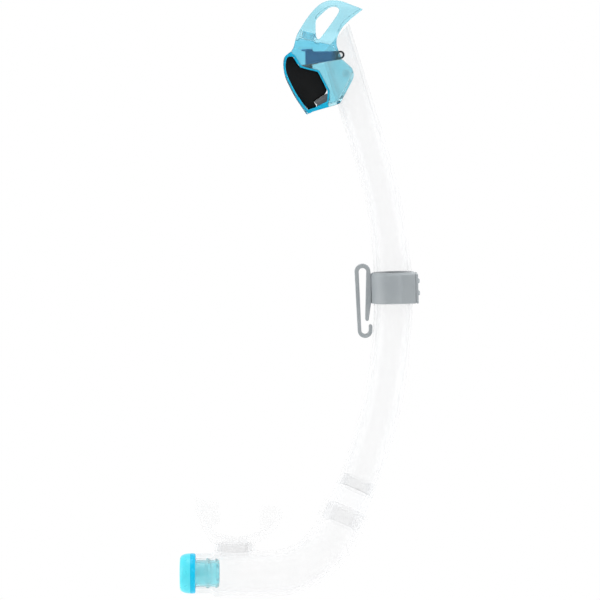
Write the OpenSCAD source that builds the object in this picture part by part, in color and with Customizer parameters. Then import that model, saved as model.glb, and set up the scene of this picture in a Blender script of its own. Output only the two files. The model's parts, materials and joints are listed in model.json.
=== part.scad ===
// Snorkel with a dry top: a bent clear tube, a hooded float valve, a strap clip,
// and a soft elbow with a mouthpiece and a purge valve.
// Millimetres. X runs from the mouthpiece side towards the tube's outer side, Z up
// the tube, Y across. The origin is the middle of the strap slot in the clip's hook.

/* [Tube] */
// Radius of the bend that the tube's centreline follows
bend_r = 312; // [280:1:340]
// Outer diameter of the tube below the clip
tube_d = 25.1; // [22:0.1:27]
// How much narrower the tube is above its taper
tube_narrow = 2.3; // [1.5:0.1:4]
// Wall of the tube
tube_wall = 1.9; // [1.2:0.1:2.4]
// Bend angle of the tube below the clip's level
tube_down_deg = 23; // [18:0.5:26]
// Bend angle of the tube above the clip's level
tube_up_deg = 17.3; // [16.5:0.1:19]
// Angle over which the tube tapers
taper_deg = 12; // [6:1:12]

/* [Clip] */
// Height of the band round the tube
band_h = 19.8; // [14:0.2:24]
// Thickness of the band
band_t = 2; // [1.4:0.1:2.4]
// Length of the strap slot
slot_len = 42.5; // [38:0.5:46]
// Width of the strap slot at its top
slot_w = 4.9; // [4.4:0.1:5.2]
// Thickness of the hook's legs
hook_t = 2.3; // [1.8:0.1:2.8]
// Width of the hook across the strap
hook_w = 8; // [6:0.5:12]

/* [Head] */
// Room from the tube's side to the outside of the head's cheek
side_room = 3.8; // [3.6:0.1:5.6]
// Thickness of the head's side walls
cheek_t = 1.6; // [1.2:0.1:1.8]
// Width of the hood at its crown
crown_w = 15; // [10:1:22]
// Height of the hood's crown above the float's hinge
crown_h = 34.7; // [33:0.1:38]
// Gap between the float and each cheek
float_gap = 1.1; // [0.6:0.1:3]
// Travel of the float from rest to closed
float_deg = 12; // [8:1:12]
// Radius of the hinge pins
pin_r = 1.55; // [1.2:0.05:1.8]
// Radius of the snap pegs
peg_r = 2.5; // [1.6:0.1:3]
// Radius of the valve's port
port_r = 3.4; // [2.4:0.1:3.6]

/* [Elbow] */
// Radius of the soft elbow's bend
elbow_bend_r = 47.6; // [42:0.2:54]
// Wall of the soft elbow and its chamber
soft_wall = 2.4; // [1.8:0.1:3]
// Length of the straight chamber below the mouthpiece
chamber_len = 38.9; // [38:0.1:44]

/* [Mouthpiece] */
// Width of the neck that the mouthpiece sits on
neck_w = 26.6; // [24:0.2:28]
// Depth of that neck
neck_d = 19; // [16:0.5:21]
// Height of the lip shield
shield_h = 26; // [22:1:30]
// Gap between the bite lobes
bite_gap = 25.6; // [22:0.2:28]
// Thickness of the bite lobes
lobe_t = 9; // [7:0.5:12]

/* [Purge] */
// Outer diameter of the purge cover
cover_d = 26; // [25:0.2:28]
// Length of the purge cover
cover_len = 6.8; // [6:0.2:8]
// Lift of the diaphragm
lift = 1.5; // [0.8:0.1:2]

/* [Hidden] */
$fn = 96;

run_gap = 0.05;
slip_gap = 0.15;
clear_gap = 0.3;
eps = 0.01;
// overlap of two lengths of one pipe, and how much the next one is narrower
lap = 0.3;
draft = 0.05;
lap_deg = 0.05;

tube_r = tube_d / 2;
tube_top_d = tube_d - tube_narrow;
// the bend: its centre lies level with the clip, far to the mouthpiece side
clip_to_tube = 6.95;
clip_to_axis = tube_r + clip_to_tube;
bend_c = [clip_to_axis - bend_r, -3.6];
tube_top_r = tube_top_d / 2;
bore_r = tube_r - tube_wall;
taper_steps = 8;

function on_bend(a, r = bend_r) = [bend_c[0] + r * cos(a), bend_c[1] + r * sin(a)];
function along(a) = [-sin(a), cos(a)];
function radius_at(a) =
    a <= 0 ? tube_r : a >= taper_deg ? tube_top_r : tube_r + (tube_top_r - tube_r) * a / taper_deg;

foot = on_bend(-tube_down_deg);
neck_top = on_bend(tube_up_deg);
top_dir = along(tube_up_deg);

// the head's own frame: its hinge sits on the straight top of the tube
hinge_up = 67.2;
hinge = neck_top + hinge_up * top_dir;
peg_down = 12.3;
peg_at = hinge - peg_down * top_dir;

head_w = tube_top_d + 2 * side_room;
cheek_in = head_w / 2 - cheek_t;
float_w = 2 * (cheek_in - float_gap);
fork_out = cheek_in - clear_gap;
fork_in = tube_top_r + clear_gap;

module slab(w) {
    rotate([90, 0, 0]) translate([0, 0, -w / 2]) linear_extrude(w) children();
}

// a torus sector about the bend's centre, from angle a to angle b
module sector(a, b, r) {
    translate([bend_c[0], 0, bend_c[1]]) rotate([90, 0, 0]) rotate([0, 0, a])
        rotate_extrude(angle = b - a) translate([bend_r, 0]) circle(r);
}

// a cylinder along a direction d in the XZ plane
module rod(p, d, len, r, r2 = undef) {
    translate([p[0], 0, p[1]]) rotate([0, atan2(d[0], d[1]), 0])
        cylinder(h = len, r1 = r, r2 = is_undef(r2) ? r : r2);
}

module pin_y(p, r, from, to) {
    for (s = [-1, 1])
        translate([p[0], s * from, p[1]]) rotate([-90 * s, 0, 0]) cylinder(h = to - from, r = r);
}

module stadium(w, d) {
    square([w - d, d], center = true);
    for (s = [-1, 1]) translate([s * (w - d) / 2, 0]) circle(d / 2);
}

// ---------------------------------------------------------------- tube
past_hinge = 21;
straight_len = hinge_up + past_hinge;

module pipe_sector(a, b, r) {
    translate([bend_c[0], 0, bend_c[1]]) rotate([90, 0, 0]) rotate([0, 0, a])
        rotate_extrude(angle = b - a) translate([bend_r, 0]) difference() {
            circle(r);
            circle(r - tube_wall);
        }
}

module pipe() {
    step = taper_deg / taper_steps;
    pipe_sector(-tube_down_deg, 0, tube_r);
    for (i = [0 : taper_steps - 1])
        pipe_sector(i * step - lap_deg, (i + 1) * step, radius_at((i + 0.5) * step));
    pipe_sector(taper_deg - lap_deg, tube_up_deg, tube_top_r);
    difference() {
        rod(neck_top - lap * top_dir, top_dir, straight_len, tube_top_r - draft);
        rod(neck_top - top_dir, top_dir, straight_len + 2, tube_top_r - draft - tube_wall);
    }
}

// everything on the hood side of the tube's slanted end
slant_low = hinge - [tube_top_r / top_dir[1] + 0.1, 0];
slant_dir = [17.5, 19.8] / norm([17.5, 19.8]);
slant_out = [-slant_dir[1], slant_dir[0]];
module beyond_slant(gap = 0) {
    from = slant_low + gap * slant_out;
    slab(60) polygon([
        from - 30 * slant_dir, from + 60 * slant_dir,
        from + 60 * slant_dir + 60 * slant_out, from - 30 * slant_dir + 60 * slant_out
    ]);
}

// the room that the tube's straight top takes up in the head
module tube_room(gap) {
    difference() {
        rod(neck_top, top_dir, straight_len + 10, tube_top_r + gap);
        beyond_slant(gap);
    }
}

module main_tube() {
    color([0.93, 0.96, 0.97, 0.35]) difference() {
        pipe();
        beyond_slant();
        pin_y(hinge, pin_r, tube_top_r - 2 * tube_wall, tube_top_r + 1);
        pin_y(peg_at, peg_r, tube_top_r - 2 * tube_wall, tube_top_r + 1);
    }
}

collar_len = 12.9;
spigot_up = 8;
spigot_down = 11;
foot_dir = -along(-tube_down_deg);
cuff_at = foot + collar_len * foot_dir;

module coupling() {
    color([0.72, 0.84, 0.93, 0.5]) difference() {
        union() {
            rod(foot, foot_dir, collar_len + spigot_down, tube_r - eps);
            rod(foot - spigot_up * foot_dir, foot_dir, spigot_up + 1, bore_r - clear_gap);
        }
        rod(foot - (spigot_up + 1) * foot_dir, foot_dir,
            spigot_up + collar_len + spigot_down + 2, bore_r - clear_gap - tube_wall);
    }
}

// ---------------------------------------------------------------- head
// outlines are measured from the hinge
crest_outline = [
    [-31.3, 2.3], [-29.8, 4.9], [-28.2, 11.3], [-25.5, 16.6], [-21.8, 22.4], [-17.6, 27.8],
    [-13.2, 32], [-9, crown_h - 0.6], [-4.3, crown_h], [1, crown_h - 0.8],
    [14.4, 28.9], [7.9, 23.8], [4.7, 20.9], [1.6, 17.7], [-1.1, 13.4], [-2.4, 9.6],
    [-2.4, 6], [-1.3, 2.8], [1, -2.8], [-21.8, -6.2], [-25.9, -6.7], [-27.4, -5]
];
window_outline = [
    [-5.8, 30.5], [-8, 29.6], [-12.2, 25.6], [-15.4, 22.4], [-15.7, 19.2], [-15.7, 12.9],
    [-14.6, 8.6], [-13.2, 10.2], [-9, 15.6], [-4.8, 21.4], [-1.6, 26.2], [-0.8, 28.8], [-2.7, 30.1]
];
chamber_outline = [
    [-31.3, 2.3], [-35.3, -0.9], [-36.2, -3.2], [-36.2, -7.2], [-35.3, -13.6],
    [-32.3, -20.5], [-28.2, -28], [-21.5, -38], [-18.6, -36.5], [-4.3, -32.2],
    [0, -30.6], [1.6, -27.4], [5.8, -19.5], [8.2, -14.1], [8.4, -11.5], [7.2, -8.3],
    [4.2, -5.6], [1, -2.8], [-21.8, -6.2], [-25.9, -6.7], [-27.4, -5]
];
cutout_outline = [
    [-33.7, -1.9], [-32.6, -0.8], [-30, -0.9], [-26.8, -6.2], [-25.5, -8.2],
    [-15.4, -10.4], [-14.1, -11.5], [-8, -23.2], [-8.6, -29.5], [-14.6, -32.5],
    [-19.1, -35.4], [-20.4, -35.1], [-27.6, -25.3], [-33.5, -13.6], [-34.8, -8.3], [-34.5, -4.1]
];

// what the chamber leaves open between its cheeks
water_way = [
    [-50, 12], [-50, -36], [-23.6, -36], [-21.9, -33.3], [-24, -14], [8, -6], [14, -6], [14, 12]
];

module at_hinge(a = 0) {
    translate([hinge[0], 0, hinge[1]]) rotate([0, a, 0]) children();
}

// the head narrows towards its crown
module head_envelope(inset) {
    w = head_w / 2 - inset;
    c = crown_w / 2 - inset;
    rotate([90, 0, 90]) translate([0, 0, -60]) linear_extrude(120)
        polygon([[-w, -45], [w, -45], [w, 5], [c, crown_h + 1], [-c, crown_h + 1], [-w, 5]]);
}

seal_t = 1.4;
seal_top = 5;
seal_x = -22.4;
seat_t = 1.6;

// the wall that carries the port, tilted as the closed arm is
module port_floor(t) {
    at_hinge(float_deg) translate([-60, -30, seal_top + slip_gap]) cube([80, 60, t]);
}

module below_port_floor() {
    at_hinge(float_deg) translate([-60, -30, seal_top + slip_gap - 60]) cube([80, 60, 60]);
}

module crest() {
    color([0.65, 0.87, 0.96, 0.6]) difference() {
        at_hinge() intersection() {
            slab(head_w) polygon(crest_outline);
            head_envelope(0);
        }
        // the air duct round the window
        difference() {
            at_hinge() intersection() {
                slab(head_w) offset(delta = -cheek_t) polygon(crest_outline);
                head_envelope(cheek_t);
            }
            at_hinge() slab(head_w) offset(delta = cheek_t) polygon(window_outline);
            port_floor(seat_t);
        }
        at_hinge() slab(head_w + 2) polygon(window_outline);
        // under the floor the cheeks are open to the float
        intersection() {
            below_port_floor();
            at_hinge() slab(2 * cheek_in) square(120, center = true);
        }
        at_hinge(float_deg) translate([seal_x, 0, 0]) cylinder(h = 20, r = port_r + seat_t);
        // the tube's slanted end enters from behind
        tube_room(run_gap);
        at_hinge() pin_y([0, 0], fork_eye_r + clear_gap, fork_in - 1, head_w);
    }
}

module valve_seat() {
    color([0.93, 0.96, 0.97, 0.5]) at_hinge(float_deg)
        translate([seal_x, 0, seal_top + slip_gap]) difference() {
            cylinder(h = seat_t + 1, r = port_r + seat_t);
            translate([0, 0, -1]) cylinder(h = seat_t + 4, r = port_r);
        }
}

module float_chamber() {
    color([0.1, 0.7, 0.87, 0.65]) difference() {
        at_hinge() slab(head_w) polygon(chamber_outline);
        at_hinge() slab(head_w - 2 * cheek_t) offset(delta = -cheek_t) polygon(chamber_outline);
        // open towards the hood, and along the outer edge where the water enters
        at_hinge() slab(head_w - 2 * cheek_t) polygon(water_way);
        at_hinge() slab(head_w + 2) polygon(cutout_outline);
        tube_room(run_gap);
        at_hinge() pin_y([0, 0], fork_eye_r + clear_gap, fork_in - 1, head_w);
        pin_y(peg_at, peg_r + run_gap, fork_in - 1, head_w);
    }
}

grille_w = 2 * cheek_in - slip_gap;
tooth_t = 1.6;
tooth_steps = 6;
tooth_inset = 1.2;
module drain_grille() {
    color([0.6, 0.63, 0.66]) at_hinge() {
        slab(grille_w) polygon([[-14.9, -32.6], [-6.9, -28.9], [-6.9, -26.4], [-8.4, -26.4], [-14.9, -29.9]]);
        for (i = [0 : tooth_steps])
            translate([0, -grille_w / 2 + tooth_inset + i * (grille_w - 2 * tooth_inset) / tooth_steps, 0])
                slab(tooth_t)
                polygon([[-15.6, -31.2], [-7, -27], [-8.4, -24.4], [-16.9, -29.6]]);
    }
}

peg_proud = 0.4;
module hinge_pins() {
    color([0.9, 0.94, 0.96]) pin_y(hinge, pin_r, tube_top_r - tube_wall, fork_out);
}

module snap_pegs() {
    color([0.7, 0.86, 0.95]) pin_y(peg_at, peg_r, tube_top_r - tube_wall, head_w / 2 + peg_proud);
}

// ---------------------------------------------------------------- float
fork_eye_r = 2.6;
post_low = 2.4;
post_r = 2.4;
float_belly = 6;
float_outline = [
    [-34.9, -2.2], [-33.1, -0.9], [-30.2, -1.1], [-26.6, -6.7], [-25.2, -7.2], [-25.2, -6.2], [-17.6, -6.2],
    [-17.6, -8.8], [-14.4, -10.8], [-8.4, -22.6], [-10, -25.05], [-17.2, -29.55], [-15.95, -31.4],
    [-15.25, -32.2], [-15.25, -33], [-16.4, -33.5], [-19.4, -35], [-20.6, -34.8], [-28.1, -25.2],
    [-34, -13.4], [-35.2, -8.2], [-35.1, -4.2]
];

module float() {
    color([0.08, 0.09, 0.09]) at_hinge() intersection() {
        slab(float_w) polygon(float_outline);
        translate([-22, 0, -18]) rotate([90, 0, 90]) translate([0, 0, -30]) linear_extrude(60)
            polygon([
                [-float_w / 2, -8], [-float_w / 2 + float_belly, -20], [float_w / 2 - float_belly, -20],
                [float_w / 2, -8],
                [float_w / 2, 20], [-float_w / 2, 20]
            ]);
    }
}

module float_arm() {
    color([0.1, 0.12, 0.14]) at_hinge() difference() {
        union() {
            for (s = [-1, 1]) translate([0, s * (fork_in + fork_out) / 2, 0]) slab(fork_out - fork_in) {
                polygon([[-20, 2.1], [0, fork_eye_r - 0.3], [0, 0.3 - fork_eye_r], [-20, -5.6]]);
                circle(fork_eye_r);
            }
            slab(2 * fork_out) polygon([[-22.3, -6.2], [-17.6, -6.2], [-17.6, 3.6], [-22.3, 3.6]]);
            translate([seal_x, 0, post_low]) cylinder(h = seal_top - seal_t - post_low, r = post_r);
        }
        pin_y([0, 0], pin_r + run_gap, fork_in - 1, fork_out + 1);
        // the bridge stays clear of the tube
        translate([-hinge[0], 0, -hinge[1]])
            rod(neck_top, top_dir, straight_len, tube_top_r + slip_gap);
    }
}

module valve_seal() {
    color([0.86, 0.92, 0.95, 0.8]) at_hinge() translate([seal_x, 0, seal_top - seal_t])
        cylinder(h = seal_t, r = port_r + 1.3);
}

// ---------------------------------------------------------------- elbow and chamber
cuff_bore_r = tube_r + run_gap;
soft_in = cuff_bore_r - 0.4;
soft_r = soft_in + soft_wall + 0.4;
cuff_r = soft_r + 0.6;
cuff_len = 14;
turn_deg = 90 - tube_down_deg;
bend_from = cuff_at + cuff_len * foot_dir;
elbow_c = bend_from + elbow_bend_r * [foot_dir[1], -foot_dir[0]];
room_z = elbow_c[1] - elbow_bend_r;
room_x = elbow_c[0];
sleeve_r = 12.8;
barb_r = 10.1;
barb_bore_r = barb_r - 0.3;
sleeve_len = 8.9;
neck_back = 22.6;
neck_up = 4.65;
sleeve_x = room_x - chamber_len;
neck_x = room_x - neck_back;
neck_z = room_z + soft_r + neck_up;

module soft_bend() {
    translate([elbow_c[0], 0, elbow_c[1]]) rotate([90, 0, 0]) rotate([0, 0, -90])
        rotate_extrude(angle = turn_deg) translate([elbow_bend_r, 0]) difference() {
            circle(soft_r);
            circle(soft_in);
        }
}

module elbow() {
    color([0.93, 0.95, 0.96, 0.45]) difference() {
        union() {
            soft_bend();
            rod(cuff_at, foot_dir, cuff_len + lap, cuff_r);
            rod_left(room_x + lap, chamber_len + lap, soft_r + draft);
            rod_left(sleeve_x + 1, sleeve_len + 1, sleeve_r);
            translate([neck_x, 0, room_z]) linear_extrude(neck_z - room_z)
                stadium(neck_w - 2 * soft_wall, neck_d - 2 * soft_wall);
        }
        rod(cuff_at - foot_dir, foot_dir, cuff_len + 1 + lap, cuff_bore_r);
        rod_left(room_x + 2 * lap, chamber_len + 2 * lap - soft_wall, soft_in + draft);
        rod_left(sleeve_x + 10, 40, barb_bore_r);
        translate([neck_x, 0, room_z]) linear_extrude(40)
            stadium(neck_w - 4 * soft_wall, neck_d - 4 * soft_wall);
    }
}

// ---------------------------------------------------------------- mouthpiece
// the outline is measured from the neck's middle, mouth_drop below the neck's top
mouth_drop = 19.6;
lobe_in = bite_gap / 2;
mouth_outline = [
    [-13.4, 16.4], [-15.4, 19.2], [-19.2, 26.2], [-22.4, 33.9], [-24.7, 40.3], [-25.6, 48.3],
    [-22, 47.4], [-17.3, 46.3], [-lobe_in + 3.2, 45.4], [-lobe_in + 3.2, 33.3],
    [-13.5, 32], [-16, 28.8], [-10.9, 25.6], [-5.8, 24.3], [1.3, 22.7], [8.3, 24.3],
    [12.8, 25.6], [17.3, 27.2], [lobe_in + 3.2, 31.4], [lobe_in + 3.2, 42.9],
    [21.7, 43.5], [29.4, 42.2], [31.3, 36.5], [28.8, 31.4], [24.9, 26.2],
    [23.7, 21.1], [19.2, 20.5], [13.4, 16.4]
];

module mouthpiece() {
    color([0.95, 0.96, 0.97, 0.5]) translate([neck_x, 0, neck_z - mouth_drop]) difference() {
        union() {
            slab(lobe_t) polygon(mouth_outline);
            slab(shield_h) difference() {
                polygon(mouth_outline);
                translate([1, 3.4]) offset(delta = -0.4) polygon([
                    [-12.5, 20], [-22, 33], [-26, 52], [32, 52], [29, 36], [20, 22], [10, 18.6]
                ]);
                translate([-40, 0]) square([80, 17.6]);
            }
            translate([0, 0, 15.4]) linear_extrude(6) stadium(neck_w, neck_d);
        }
        translate([0, 0, -20]) linear_extrude(mouth_drop + 20 + slip_gap)
            stadium(neck_w - 2 * soft_wall + slip_gap, neck_d - 2 * soft_wall + slip_gap);
        translate([0, 0, 10]) linear_extrude(40)
            stadium(neck_w - 4 * soft_wall, neck_d - 4 * soft_wall);
        translate([-40, 0, room_z - neck_z + mouth_drop]) rotate([0, 90, 0])
            cylinder(h = 80, r = soft_r + draft + run_gap);
    }
}

// ---------------------------------------------------------------- purge valve
flange_x = sleeve_x - sleeve_len;
ring_len = 3.2;
cover_x = flange_x - ring_len;
cover_r = cover_d / 2;
hub_r = 3;
stem_r = 1.3;
body_r = 8.6;
barb_reach = 15.3;
web_t = 1.6;
spoke_w = 1.4;
vent_w = 2.2;
vent_from = 3.4;
vent_len = 5;
rim_len = 2.2;
rim_in = 2.1;
cover_draft = 0.7;
cover_wall = 2.3;
flap_t = 0.8;
knob_l = 3.2;
knob_r = 0.9;

module rod_left(x, len, r, r2 = undef) {
    translate([x, 0, room_z]) rotate([0, -90, 0]) cylinder(h = len, r1 = r, r2 = is_undef(r2) ? r : r2);
}

module purge_body() {
    color([0.35, 0.85, 0.93, 0.8]) {
        difference() {
            union() {
                rod_left(flange_x + barb_reach, barb_reach + ring_len, body_r);
                rod_left(flange_x + 9.5, 2.9, barb_bore_r - 1, barb_bore_r - 0.9 - run_gap);
                rod_left(flange_x + barb_reach, 2.5, body_r, barb_bore_r + 0.3 - run_gap);
            }
            rod_left(flange_x + barb_reach + 5, 40, body_r - web_t);
        }
        difference() {
            union() {
                rod_left(cover_x + web_t, web_t, hub_r);
                for (a = [0 : 60 : 120])
                    translate([cover_x + web_t / 2, 0, room_z]) rotate([a, 0, 0])
                        cube([web_t, 2 * body_r - 1, spoke_w], center = true);
            }
            rod_left(cover_x + 5, 10, stem_r + run_gap);
        }
    }
}

module purge_ring() {
    color([0, 0.5, 0.75]) difference() {
        rod_left(flange_x, ring_len, cover_r);
        rod_left(flange_x + 1, ring_len + 2, body_r + run_gap);
    }
}

module purge_cover() {
    color([0.35, 0.82, 0.93]) difference() {
        union() {
            rod_left(cover_x, cover_len - rim_len, cover_r, cover_r - cover_draft);
            rod_left(cover_x - cover_len + rim_len, rim_len, cover_r - cover_draft, cover_r - rim_in);
        }
        rod_left(cover_x + 1, cover_len - 0.6, cover_r - cover_wall);
        for (a = [0 : 60 : 300])
            translate([cover_x - cover_len, 0, room_z]) rotate([a, 0, 0])
                translate([-2, vent_from, -vent_w / 2]) cube([5, vent_len, vent_w]);
    }
}

module purge_diaphragm() {
    color([0.9, 0.94, 0.96, 0.8]) {
        rod_left(cover_x - slip_gap, flap_t, cover_r - cover_wall - 3 * clear_gap);
        rod_left(cover_x + knob_l, knob_l + slip_gap + eps, stem_r);
        rod_left(cover_x + knob_l + lift + 1, 1 + lift, stem_r + knob_r, stem_r);
    }
}

// ---------------------------------------------------------------- clip
band_mid = 4.8;
band_a = asin((band_mid - bend_c[1]) / bend_r);
band_at = on_bend(band_a);
band_dir = along(band_a);
band_r = tube_r + run_gap + band_t;
block_x = band_r - 0.5;
block_w = 2 * (band_r - 0.9);
block_in = block_x - 9.2;
plate_short = 1;
leg_lap = 0.3;
plate_t = 1.6;

module band_bore() {
    sector(band_a - 6, band_a + 6, tube_r + run_gap);
}

module in_band_frame() {
    translate([band_at[0], 0, band_at[1]]) rotate([0, atan2(band_dir[0], band_dir[1]), 0]) children();
}

module clip_band() {
    color([0.66, 0.69, 0.71]) difference() {
        in_band_frame() {
            translate([0, 0, -band_h / 2]) cylinder(h = band_h, r = band_r);
            translate([block_in, -block_w / 2, -band_h / 2])
                cube([block_x - block_in, block_w, band_h - plate_short]);
        }
        // the flat that the keeper plate lies on
        in_band_frame() translate([block_x, -band_r, -band_h]) cube([band_r, 2 * band_r, 2 * band_h]);
        band_bore();
        in_band_frame() for (z = rivet_z) translate([9, 0, z]) rotate([0, 90, 0])
            cylinder(h = 20, r = rivet_r + run_gap);
    }
}

rivet_r = 1.2;
rivet_head_r = 1.7;
rivet_z = [-3.9, 3.9];
rivet_head_t = 1.4;
rivet_foot = tube_r + 0.5;

module clip_keeper() {
    color([0.62, 0.65, 0.68]) difference() {
        in_band_frame() translate([block_x, -block_w / 2, -band_h / 2])
            cube([plate_t, block_w, band_h - plate_short]);
        in_band_frame() for (z = rivet_z) translate([9, 0, z]) rotate([0, 90, 0])
            cylinder(h = 20, r = rivet_r + run_gap);
    }
}

module clip_rivets() {
    color([0.72, 0.74, 0.76]) in_band_frame() for (z = rivet_z) translate([0, 0, z]) {
        translate([rivet_foot, 0, 0]) rotate([0, 90, 0])
            cylinder(h = block_x + plate_t - rivet_foot + eps, r = rivet_r);
        translate([block_x + plate_t, 0, 0]) rotate([0, 90, 0])
            cylinder(h = rivet_head_t, r1 = rivet_head_r, r2 = rivet_head_r - 0.5);
    }
}

hook_x = -0.35;
hook_half = slot_w / 2 + hook_t + 0.3;
hook_low_r = 4.7;
hook_top_z = 15;
hook_low_z = hook_top_z + slot_w / 2 - slot_len + hook_low_r - hook_t;
leg_x = clip_to_axis - band_r + leg_lap;
leg_low_z = band_mid - band_h / 2 + 0.2;
leg_end_z = hook_low_z + 7.2;

// the tube's inner side at a height, which the hook's free end stays clear of
function tube_face(z) = bend_c[0] + sqrt(pow(bend_r - tube_r, 2) - pow(z - bend_c[1], 2));
hook_low_x = tube_face(hook_low_z) - clear_gap - hook_low_r;

module half_ring(r_out, r_in, up) {
    difference() {
        slab(hook_w) circle(r_out);
        slab(hook_w + 1) circle(r_in);
        slab(hook_w + 1) translate([-20, up ? -40 - lap : lap]) square(40);
    }
}

module hook_solid() {
    translate([hook_x, 0, hook_top_z]) half_ring(hook_half, slot_w / 2, true);
    // outer leg, leaning in towards the bottom bend
    slab(hook_w) polygon([
        [hook_x - hook_half, hook_top_z], [hook_x - slot_w / 2, hook_top_z],
        [hook_low_x - hook_low_r + hook_t, hook_low_z], [hook_low_x - hook_low_r, hook_low_z]
    ]);
    // inner leg, against the band, thinning to its free end
    slab(hook_w) polygon([
        [hook_x + slot_w / 2, hook_top_z], [hook_x + hook_half, hook_top_z],
        [leg_x, hook_top_z - 1], [leg_x, leg_low_z], [leg_x - 1.4, leg_end_z], [leg_x - 1.9, leg_end_z - 0.8],
        [leg_x - 3.2, leg_end_z - 0.8], [leg_x - 3.8, leg_end_z]
    ]);
    translate([hook_low_x, 0, hook_low_z]) half_ring(hook_low_r, hook_low_r - hook_t, false);
    translate([hook_low_x + hook_low_r - hook_t / 2, 0, hook_low_z - lap]) {
        slab(hook_w) translate([-hook_t / 2, 0]) square([hook_t, 3.1]);
        translate([0, 0, 3]) slab(hook_w) circle(hook_t / 2);
    }
}

module strap_hook() {
    color([0.64, 0.67, 0.7]) difference() {
        hook_solid();
        in_band_frame() translate([0, 0, -band_h / 2 - eps]) cylinder(h = band_h + 2 * eps, r = band_r);
    }
}

clip_band();
strap_hook();
clip_keeper();
clip_rivets();
main_tube();
coupling();
crest();
valve_seat();
float_chamber();
drain_grille();
hinge_pins();
snap_pegs();
float();
float_arm();
valve_seal();
elbow();
mouthpiece();
purge_body();
purge_ring();
purge_cover();
purge_diaphragm();
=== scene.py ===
import json
import math

import bmesh
import bpy
from mathutils import Matrix, Vector
from mathutils.geometry import tessellate_polygon


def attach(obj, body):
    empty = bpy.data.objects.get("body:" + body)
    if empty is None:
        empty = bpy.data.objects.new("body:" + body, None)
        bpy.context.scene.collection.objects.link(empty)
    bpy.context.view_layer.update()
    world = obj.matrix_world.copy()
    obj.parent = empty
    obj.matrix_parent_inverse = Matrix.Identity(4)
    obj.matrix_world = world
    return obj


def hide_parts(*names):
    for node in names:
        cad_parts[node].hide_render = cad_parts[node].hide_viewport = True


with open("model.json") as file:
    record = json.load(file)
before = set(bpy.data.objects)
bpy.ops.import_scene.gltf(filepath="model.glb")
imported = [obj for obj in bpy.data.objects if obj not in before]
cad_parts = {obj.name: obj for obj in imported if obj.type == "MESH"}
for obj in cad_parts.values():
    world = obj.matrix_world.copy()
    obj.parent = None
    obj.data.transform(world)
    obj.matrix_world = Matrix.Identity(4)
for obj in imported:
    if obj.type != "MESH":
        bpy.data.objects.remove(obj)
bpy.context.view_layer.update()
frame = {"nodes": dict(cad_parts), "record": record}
MM = 0.001

# ------------------------------------------------------------------ frame sizes
JOINTS = {j["name"]: j for j in frame["record"]["behaviour"]["joints"]}


def joint_point(name):
    return Vector(JOINTS[name]["pos_m"])


# ------------------------------------------------------------------ camera, light, floor
CAMERA_MIDDLE = Vector((-40.3 * MM, 0, -3.2 * MM))
CAMERA_FAR = 2.4
CAMERA_LIFT = math.radians(3.5)
FRAME_WIDTH = 0.384

camera_data = bpy.data.cameras.new("camera")
camera_data.sensor_width = 36
camera_data.lens = 36 * CAMERA_FAR / FRAME_WIDTH
camera_data.clip_start = 0.1
camera_data.clip_end = 20
camera = bpy.data.objects.new("camera", camera_data)
camera.location = CAMERA_MIDDLE + Vector((0, -math.cos(CAMERA_LIFT), math.sin(CAMERA_LIFT))) * CAMERA_FAR
camera.rotation_euler = (math.pi / 2 - CAMERA_LIFT, 0, 0)
bpy.context.scene.collection.objects.link(camera)
bpy.context.scene.camera = camera

bpy.context.scene.view_settings.view_transform = "Standard"


def softbox(name, place, size, watts):
    """A large lamp aimed at the middle of the object, not seen through clear parts."""
    data = bpy.data.lights.new(name, "AREA")
    data.shape = "RECTANGLE"
    data.size, data.size_y = size
    data.energy = watts
    lamp = bpy.data.objects.new(name, data)
    lamp.location = place
    lamp.visible_transmission = False
    lamp.rotation_euler = (-Vector(place)).to_track_quat("-Z", "Y").to_euler()
    bpy.context.scene.collection.objects.link(lamp)
    return lamp


softbox("key_left", (-1.6, -0.45, 0.3), (1.0, 1.8), 15)
softbox("fill_right", (1.6, -0.35, 0.3), (1.0, 1.8), 20)
softbox("front", (0.2, -2.2, 0.9), (1.2, 1.2), 7)
softbox("top", (0, -0.2, 1.6), (1.2, 1.2), 12)


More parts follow.
